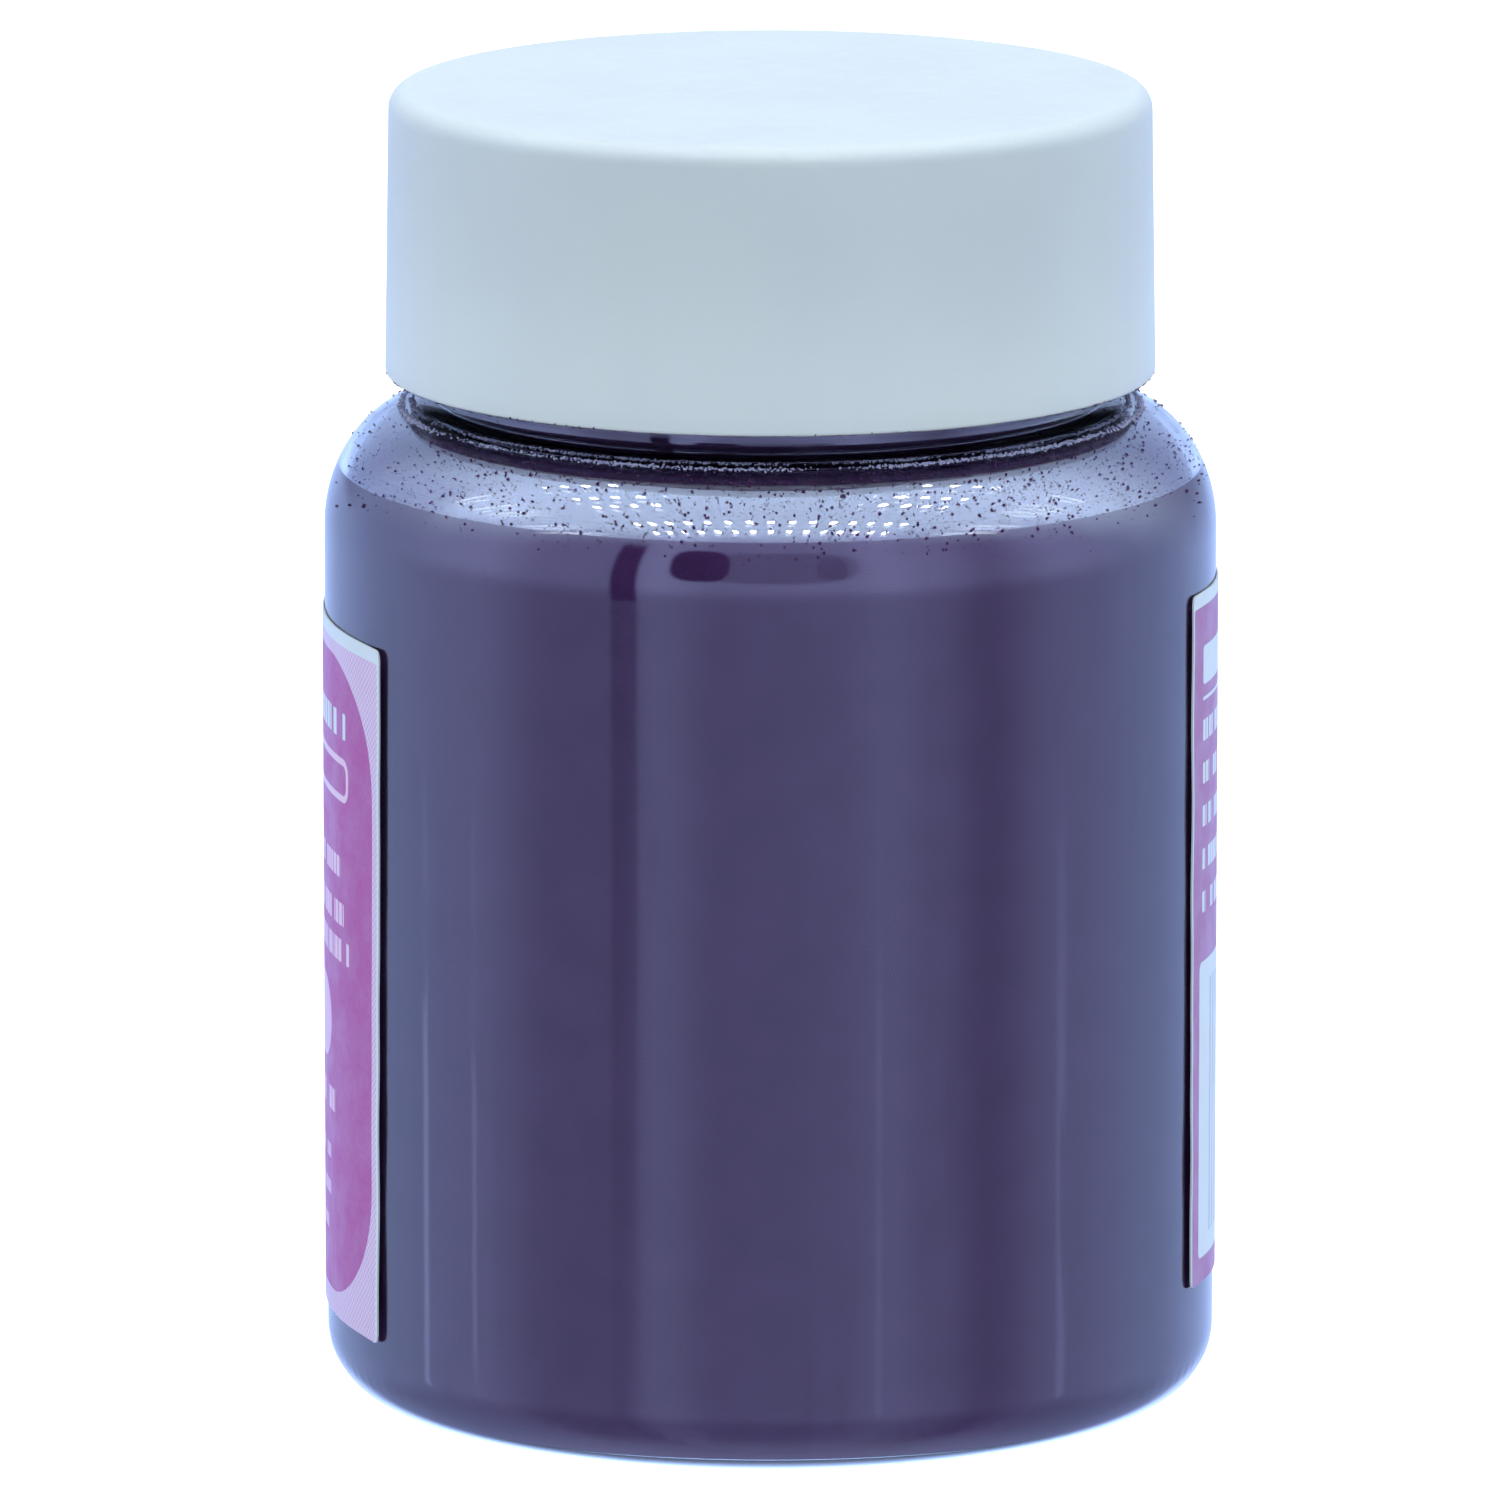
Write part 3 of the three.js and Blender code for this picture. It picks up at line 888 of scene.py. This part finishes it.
class Print:
    """Printed shapes as masks, placed in millimetres: along from the label's left end, and up."""

    def __init__(self, nodes):
        self.nodes = nodes
        self.place = nodes.add("UVMap", uv_map="LabelPlace").outputs["UV"]
        self.along = nodes.split(self.place)[0]
        self.box = rounded_box_group()

    def shape(self, left, right, bottom, top, corner):
        middle = ((left + right) / 2, (bottom + top) / 2, 0)
        half = ((right - left) / 2, (top - bottom) / 2, 0)
        made = self.nodes.add("Group", node_tree=self.box)
        for key, value in {"Place": self.place, "Middle": middle, "Half": half, "Corner": corner}.items():
            self.nodes.feed(made.inputs[key], value)
        return made.outputs["Inside"]

    def outline(self, left, right, bottom, top, corner, line):
        outer = self.shape(left, right, bottom, top, corner)
        inner = self.shape(left + line, right - line, bottom + line, top - line, max(0.01, corner - line))
        return self.nodes.math("SUBTRACT", outer, inner, clamp=True)

    def word_line(self, left, right, bottom, height, seed):
        """A line of short bars of uneven length, in place of small print."""
        nodes = self.nodes
        seeded = nodes.math("ADD", self.along, seed * 17.3)
        inputs = {"W": seeded, "Scale": 0.8 / height, "Detail": 1.0}
        lengths = nodes.add("TexNoise", inputs, noise_dimensions="1D")
        strokes = nodes.math("PINGPONG", seeded, height * 0.3)
        gaps = nodes.ease(lengths.outputs["Fac"], 0.42, 0.44)
        bars = nodes.times(gaps, nodes.ease(strokes, height * 0.045, height * 0.075))
        return nodes.times(bars, self.shape(left, right, bottom, bottom + height, 0.15))

    def ground(self):
        """A screen of fine dots makes the pale ground; the left third is printed solid."""
        nodes = self.nodes
        inputs = {"Vector": self.place, "Angle": math.radians(45)}
        turned = nodes.add("VectorRotate", inputs, rotation_type="Z_AXIS").outputs[0]
        dots = nodes.add("TexVoronoi", {"Vector": turned, "Scale": 3.4, "Randomness": 0.0})
        screen = nodes.ease(dots.outputs["Distance"], 0.36, 0.5, 1.0, 0.0)
        pale = nodes.mix(nodes.times(screen, 0.75), (0.60, 0.58, 0.79), (0.48, 0.27, 0.60))
        return nodes.mix(nodes.ease(self.along, PINK_WIDTH - 0.05, PINK_WIDTH + 0.05), INK_PINK, pale)

    def left_panel(self):
        """A white title bar and a rule, five lines of print, and a box of stripes."""
        nodes, shape = self.nodes, self.shape
        stripes = nodes.math("FRACT", nodes.times(self.along, 1 / 0.95))
        striped = nodes.times(nodes.ease(stripes, 0.5, 0.56), shape(4.2, 20.5, 2.6, 17.2, 0.1))
        layers = [
            (shape(1.65, 22, 1.4, 18.4, 0.5), INK_WHITE),
            (shape(2.2, 17, 34.2, 36.4, 0.3), INK_WHITE),
            (shape(2.2, 26, 33.3, 33.5, 0.05), INK_WHITE),
            (striped, INK_GREY_BLUE),
        ]
        layers += [(self.word_line(2.2, 25, 31.0 - 2.45 * i, 1.2, i), INK_WHITE) for i in range(5)]
        return layers

    def middle_panel(self):
        """A white panel with a plum disc, a bar and two lines of print."""
        return [
            (self.shape(33, 61, 3.5, 36, 4.0), INK_WHITE),
            (self.shape(38.5, 55.5, 16, 33, 8.5), INK_PLUM),
            (self.outline(37.6, 56.4, 15.1, 33.9, 9.4, 0.35), INK_MAGENTA),
            (self.shape(37, 57, 10.6, 12.4, 0.9), INK_MAGENTA),
            (self.word_line(37, 57, 7.6, 0.9, 9), INK_GREY_BLUE),
            (self.word_line(37, 57, 5.8, 0.9, 10), INK_GREY_BLUE),
        ]

    def right_panel(self):
        """A magenta panel with lines of print, an outlined pill and a solid one."""
        end = LABEL_LENGTH
        word_line = self.word_line
        layers = [
            (self.shape(66, end - 0.95, 1.3, 37.9, 7.2), INK_MAGENTA),
            (word_line(end - 24, end - 5.0, 33.4, 1.5, 21), INK_WHITE),
            (self.outline(end - 22, end - 4.5, 29.8, 32.3, 0.9, 0.4), INK_LILAC),
            (word_line(end - 20, end - 6.0, 25.4, 1.2, 22), INK_LILAC),
            (word_line(end - 23, end - 5.3, 22.7, 1.3, 23), INK_LILAC),
            (word_line(end - 23, end - 4.4, 20.6, 1.3, 24), INK_LILAC),
            (self.shape(end - 21, end - 8.3, 14.3, 19.0, 2.3), INK_MAUVE),
            (word_line(end - 21, end - 7.0, 11.6, 1.3, 25), INK_LILAC),
        ]
        for i in range(3):
            layers.append((word_line(end - 18, end - 8.6, 4.5 + 2.1 * i, 0.8, 30 + i), INK_MAUVE))
        return layers

    def colour(self):
        """All of the print, inside a narrow white border."""
        colour = self.ground()
        for mask, ink in self.middle_panel() + self.left_panel() + self.right_panel():
            colour = self.nodes.mix(mask, colour, ink)
        inside_border = self.shape(0.22, LABEL_LENGTH - 0.28, -1.0, LABEL_HEIGHT - 0.8, 0.2)
        return self.nodes.mix(inside_border, INK_WHITE, colour)


@makes_material("label_print")
def printed_label(nodes):
    """A satin film label, faintly mottled."""
    art = Print(nodes)
    mottle = nodes.noise(art.place, 2.2, 4)
    sheen = nodes.noise(art.place, 0.4, 2)
    surface(
        nodes,
        Base_Color=nodes.mix(nodes.ease(mottle, 0.3, 0.75, 0.0, 0.03), art.colour(), (0.9, 0.9, 0.95)),
        Roughness=nodes.ease(sheen, 0.3, 0.7, 0.32, 0.44),
        Normal=nodes.bump(mottle, 0.000004),
    )


def rounded_box_group():
    """A node group that says whether a place is inside a box with round corners."""
    tree = bpy.data.node_groups.new("rounded_box", "ShaderNodeTree")
    nodes = Nodes(tree)
    for name, kind in (("Place", "Vector"), ("Middle", "Vector"), ("Half", "Vector"), ("Corner", "Float")):
        tree.interface.new_socket(name=name, in_out="INPUT", socket_type="NodeSocket" + kind)
    tree.interface.new_socket(name="Inside", in_out="OUTPUT", socket_type="NodeSocketFloat")
    given = tree.nodes.new("NodeGroupInput").outputs
    inputs = {0: given["Place"], 1: given["Middle"]}
    offset = nodes.add("VectorMath", inputs, operation="SUBTRACT").outputs[0]
    folded = nodes.add("VectorMath", {0: offset}, operation="ABSOLUTE").outputs[0]
    beyond = nodes.add("VectorMath", {0: folded, 1: given["Half"]}, operation="SUBTRACT").outputs[0]
    across, up, _ = nodes.split(beyond)
    near = [nodes.math("ADD", side, given["Corner"]) for side in (across, up)]
    outside = [nodes.math("MAXIMUM", side, 0.0) for side in near]
    squares = [nodes.times(side, side) for side in outside]
    reach = nodes.math("SQRT", nodes.math("ADD", *squares))
    within = nodes.math("MINIMUM", nodes.math("MAXIMUM", *near), 0.0)
    distance = nodes.math("SUBTRACT", nodes.math("ADD", reach, within), given["Corner"])
    inside = nodes.ease(distance, -0.03, 0.03, 1.0, 0.0)
    result = tree.nodes.new("NodeGroupOutput")
    tree.links.new(inside, result.inputs["Inside"])
    return tree


# Studio: a light tent, drawn by direction in the world, and a pale floor. Directions are in degrees, from
# -Y towards +X and up from the horizon.
FLOOR_RADIUS = 4.0
FLOOR_DROP = -0.02
FLOOR_GLOW = 0.72

# How bright the cloth walls are round the tent: direction and brightness.
TENT_FOLDS = (
    (-180, 0.75), (-154, 0.85), (-130, 1.0), (-100, 1.17), (-82, 1.18), (-58, 0.7), (-40, 0.7),
    (-29, 1.14), (-13, 0.78), (2, 0.82), (15, 0.9), (31, 1.16), (43, 0.9), (58, 0.54), (80, 1.0),
    (104, 1.1), (128, 0.98), (160, 0.9), (180, 0.75),
)
# Light that comes in between the cloths: direction, half width and brightness.
TENT_GAPS = ((-101, 0.9, 0.8), (-83, 0.7, 0.5), (81, 1.4, 0.45), (28, 0.8, 0.25))
# Rows of lamps: how far ahead on the ceiling, half width, and how far from the middle the row starts.
LAMP_ROWS = (
    (-0.655, 0.032, -1.0), (-0.905, 0.038, -1.0), (-0.24, 0.027, 0.3), (-0.06, 0.021, 0.3),
    (0.2, 0.017, 0.36),
)
LAMP_SPACING = 0.0465
LAMP_LIGHT = (115, 122, 130)
LAMP_GLOW = (10, 11.5, 13.5)
OPENING_DARK = (0.02, 0.02, 0.03)


class Tent:
    """The light tent, as nodes that go from the direction looked in to a colour."""

    def __init__(self, nodes):
        self.nodes = nodes
        self.direction = nodes.add("TexCoord").outputs["Generated"]
        self.x, self.y, self.z = nodes.split(self.direction)
        bearing = nodes.math("ARCTAN2", self.x, nodes.times(self.y, -1.0))
        self.azimuth = nodes.math("DEGREES", bearing)
        self.elevation = nodes.math("DEGREES", nodes.math("ARCSINE", self.z))
        self.turned_away = nodes.math("ABSOLUTE", self.azimuth)

    def band(self, value, low, high, soft):
        """1 from low to high, and 0 outside."""
        rising = self.nodes.ease(value, low - soft, low + soft)
        falling = self.nodes.ease(value, high - soft, high + soft, 1.0, 0.0)
        return self.nodes.times(rising, falling)

    def patch(self, middle, half, soft):
        """A patch with well rounded corners, from its middle and half size."""
        nodes = self.nodes
        powers = []
        for value, at, size in zip((self.azimuth, self.elevation), middle, half):
            side = nodes.math("DIVIDE", nodes.math("SUBTRACT", value, at), size)
            powers.append(nodes.math("POWER", nodes.math("ABSOLUTE", side), 3))
        return nodes.ease(nodes.math("ADD", *powers), 1 - soft, 1 + soft, 1.0, 0.0)

    def folds(self):
        """How bright the walls are at each azimuth."""
        turn = self.nodes.math("MULTIPLY_ADD", self.azimuth, 1 / 360, 0.5)
        made = self.nodes.add("ValToRGB", {"Fac": turn})
        ramp = made.color_ramp
        ramp.interpolation = "EASE"
        last = len(TENT_FOLDS) - 1
        for i, (at, value) in enumerate(TENT_FOLDS):
            if i in (0, last):
                stop = ramp.elements[0 if i == 0 else -1]
            else:
                stop = ramp.elements.new(at / 360 + 0.5)
            stop.color = (value, value, value, 1)
        return made.outputs["Color"]

    def wall_strength(self):
        """The folds, brighter towards the top in front and on the table, darker up at the back."""
        nodes = self.nodes
        facing = nodes.ease(self.turned_away, 70, 125, 0.7, 0.0)
        rise = nodes.total(nodes.times(nodes.ease(self.elevation, -10, 2), facing), 1.0)
        behind = nodes.ease(self.turned_away, 150, 180, -0.35, 2.2)
        on_table = nodes.ease(self.elevation, -32, -14, 1.0, 0.0)
        table = nodes.total(nodes.times(on_table, behind), 1.0)
        at_back = nodes.ease(self.turned_away, 130, 150, 0.0, -0.4)
        shaded_back = nodes.times(nodes.ease(self.elevation, -1, 4), at_back)
        strength = nodes.times(nodes.times(self.folds(), rise), table)
        strength = nodes.times(strength, nodes.total(shaded_back, 1.0))
        low_gap = self.band(self.elevation, -18, -11.9, 0.7)
        for at, half, bright in TENT_GAPS:
            gap = nodes.times(self.band(self.azimuth, at - half, at + half, half), low_gap)
            strength = nodes.total(strength, nodes.times(gap, bright))
        return strength

    def openings(self):
        """The camera's opening in the front wall, and the seam beside it."""
        nodes = self.nodes
        dark = self.patch((-18.5, 18), (8, 12), 0.35)
        half_open = nodes.times(self.patch((2, 17), (21, 12), 0.35), 0.42)
        corner = nodes.times(self.patch((16, 16), (4.5, 9), 0.5), 0.6)
        seam_side = self.band(self.azimuth, -41.5, -34.5, 1.0)
        seam = nodes.times(seam_side, self.band(self.elevation, -11, 31, 4))
        slit = nodes.times(self.band(self.azimuth, -41.5, -36.5, 1.5), 0.12)
        for more in (half_open, corner, seam, slit):
            dark = nodes.math("MAXIMUM", dark, more)
        return dark

    def walls(self):
        """The cloth walls, the table and the openings."""
        nodes = self.nodes
        tint = nodes.mix(nodes.ease(self.turned_away, 60, 130), (1.02, 1.16, 2.15), (0.84, 1.16, 2.05))
        inputs = {0: tint, "Scale": self.wall_strength()}
        cloth = nodes.add("VectorMath", inputs, operation="SCALE").outputs[0]
        cloth = nodes.mix(nodes.ease(self.elevation, -75, -45, 1.0, 0.0), cloth, (0.9, 1.1, 1.8))
        return nodes.mix(self.openings(), cloth, OPENING_DARK)

    def with_ceiling(self, walls):
        """The lit ceiling, over the walls. It comes lower at the sides and at the back."""
        nodes, x, y = self.nodes, self.x, self.y
        cloudy = nodes.noise(self.direction, 5.0, 2)
        corner = nodes.times(nodes.math("MAXIMUM", x, 0.0), nodes.math("MAXIMUM", y, 0.0))
        aside = nodes.times(x, x)
        parts = [self.z]
        for value, weight in ((y, 0.34), (corner, 0.4), (aside, 0.13), (cloudy, 0.1)):
            parts.append(nodes.times(value, weight))
        height = nodes.total(*parts, -0.05)
        full = nodes.math("MULTIPLY_ADD", aside, 0.2, 0.56)
        ceiling = nodes.mix(nodes.ease(y, 0.0, 0.85), (3.8, 4.9, 6.8), (0.5, 0.66, 1.08))
        left_back = nodes.times(nodes.ease(x, -0.8, -0.55, 0.4, 0.0), nodes.ease(y, 0.15, 0.32))
        ceiling = nodes.mix(left_back, ceiling, (0.9, 1.2, 2.1))
        return nodes.mix(nodes.ease(height, 0.29, full), walls, ceiling)

    def with_lamps(self, seen):
        """The rows of lamps on the ceiling, and their glow on the side walls."""
        nodes = self.nodes
        safe_z = nodes.math("MAXIMUM", self.z, 0.02)
        across = nodes.math("DIVIDE", self.x, safe_z)
        ahead = nodes.math("DIVIDE", self.y, safe_z)
        side = nodes.math("ABSOLUTE", across)
        lamps = nodes.ease(nodes.math("PINGPONG", across, LAMP_SPACING), 0.010, 0.015, 1.0, 0.0)
        beyond = nodes.math("MAXIMUM", nodes.math("SUBTRACT", side, 0.95), 0.0)
        straight = nodes.math("SUBTRACT", ahead, nodes.times(beyond, 0.3))
        glow_side = self.band(side, 1.08, 1.65, 0.15)
        for row, half, start in LAMP_ROWS:
            off = nodes.math("ABSOLUTE", nodes.math("SUBTRACT", straight, row))
            near = nodes.ease(off, half * 0.75, half * 1.1, 1.0, 0.0)
            in_row = self.band(side, start, 0.66, 0.02)
            spots = nodes.times(nodes.times(lamps, near), in_row)
            glow = nodes.times(nodes.ease(off, 0.0, half * 1.8, 1.0, 0.0), glow_side)
            seen = nodes.mix(spots, seen, LAMP_LIGHT)
            seen = nodes.mix(nodes.times(glow, 0.75), seen, LAMP_GLOW)
        return seen

    def lit(self):
        """What lights the matt surfaces: the same tent, smooth and without its lamps."""
        nodes = self.nodes
        above = nodes.mix(nodes.ease(self.z, 0.5, 0.95), (0.2, 0.21, 0.22), (2.95, 2.71, 2.42))
        return nodes.mix(nodes.ease(self.z, -0.05, 0.0, 1.0, 0.0), above, (0.9, 0.95, 1.0))


def light_tent():
    """The world: reflections see the tent in detail, and everything else gets its smooth light."""
    world = bpy.data.worlds.new("light_tent")
    bpy.context.scene.world = world
    world.use_nodes = True
    nodes = Nodes(world.node_tree)
    tent = Tent(nodes)
    seen = tent.with_lamps(tent.with_ceiling(tent.walls()))
    path = nodes.add("LightPath").outputs
    direct = nodes.math("MAXIMUM", path["Is Glossy Ray"], path["Is Transmission Ray"])
    direct = nodes.times(direct, nodes.math("LESS_THAN", path["Diffuse Depth"], 0.5))
    background = nodes.add("Background", {"Color": nodes.mix(direct, tent.lit(), seen), "Strength": 1.0})
    output = nodes.add("OutputWorld")
    nodes.tree.links.new(background.outputs[0], output.inputs["Surface"])


@makes_material("white_sheet")
def white_sheet(nodes):
    """Paper that the camera sees as pure white."""
    is_camera_ray = nodes.add("LightPath").outputs["Is Camera Ray"]
    surface(
        nodes,
        Base_Color=(0.25, 0.25, 0.25),
        Roughness=0.9,
        Emission_Color=(1, 1, 1),
        Emission_Strength=nodes.ease(is_camera_ray, 0, 1, FLOOR_GLOW, 1.0),
    )


def floor():
    """A white sheet. It isn't seen in reflections, where the tent stands in for it."""
    sides = 96
    points = [round_point(FLOOR_RADIUS / MM, TURN * i / sides, FLOOR_DROP) for i in range(sides)]
    made = make_object("floor", points, [tuple(range(sides))])
    made.data.materials.append(white_sheet())
    made.visible_glossy = False
    made.visible_transmission = False


CAMERA_ELEVATION = math.radians(11.33)
CAMERA_DISTANCE = 970
CAMERA_AIM = Vector((-1.14, 0, 36.15))
CAMERA_LENS = 414.1
CAMERA_SENSOR = 36


def camera():
    back = Vector((0, -math.cos(CAMERA_ELEVATION), math.sin(CAMERA_ELEVATION)))
    data = bpy.data.cameras.new("camera")
    data.sensor_width = CAMERA_SENSOR
    data.lens = CAMERA_LENS
    data.clip_start = 0.01
    data.clip_end = 20
    made = bpy.data.objects.new("camera", data)
    made.location = (CAMERA_AIM + back * CAMERA_DISTANCE) * MM
    made.rotation_mode = "QUATERNION"
    made.rotation_quaternion = (-back).to_track_quat("-Z", "Y")
    bpy.context.scene.collection.objects.link(made)
    bpy.context.scene.camera = made


bpy.context.scene.view_settings.view_transform = "Standard"
camera()
light_tent()
floor()
jar_body()
pigment_powder()
dust_film()
cap()
cap_liner()
label()
shoulder_dust()
bloom_dust_painted_highlight()
rim_dust()
bore_dust()
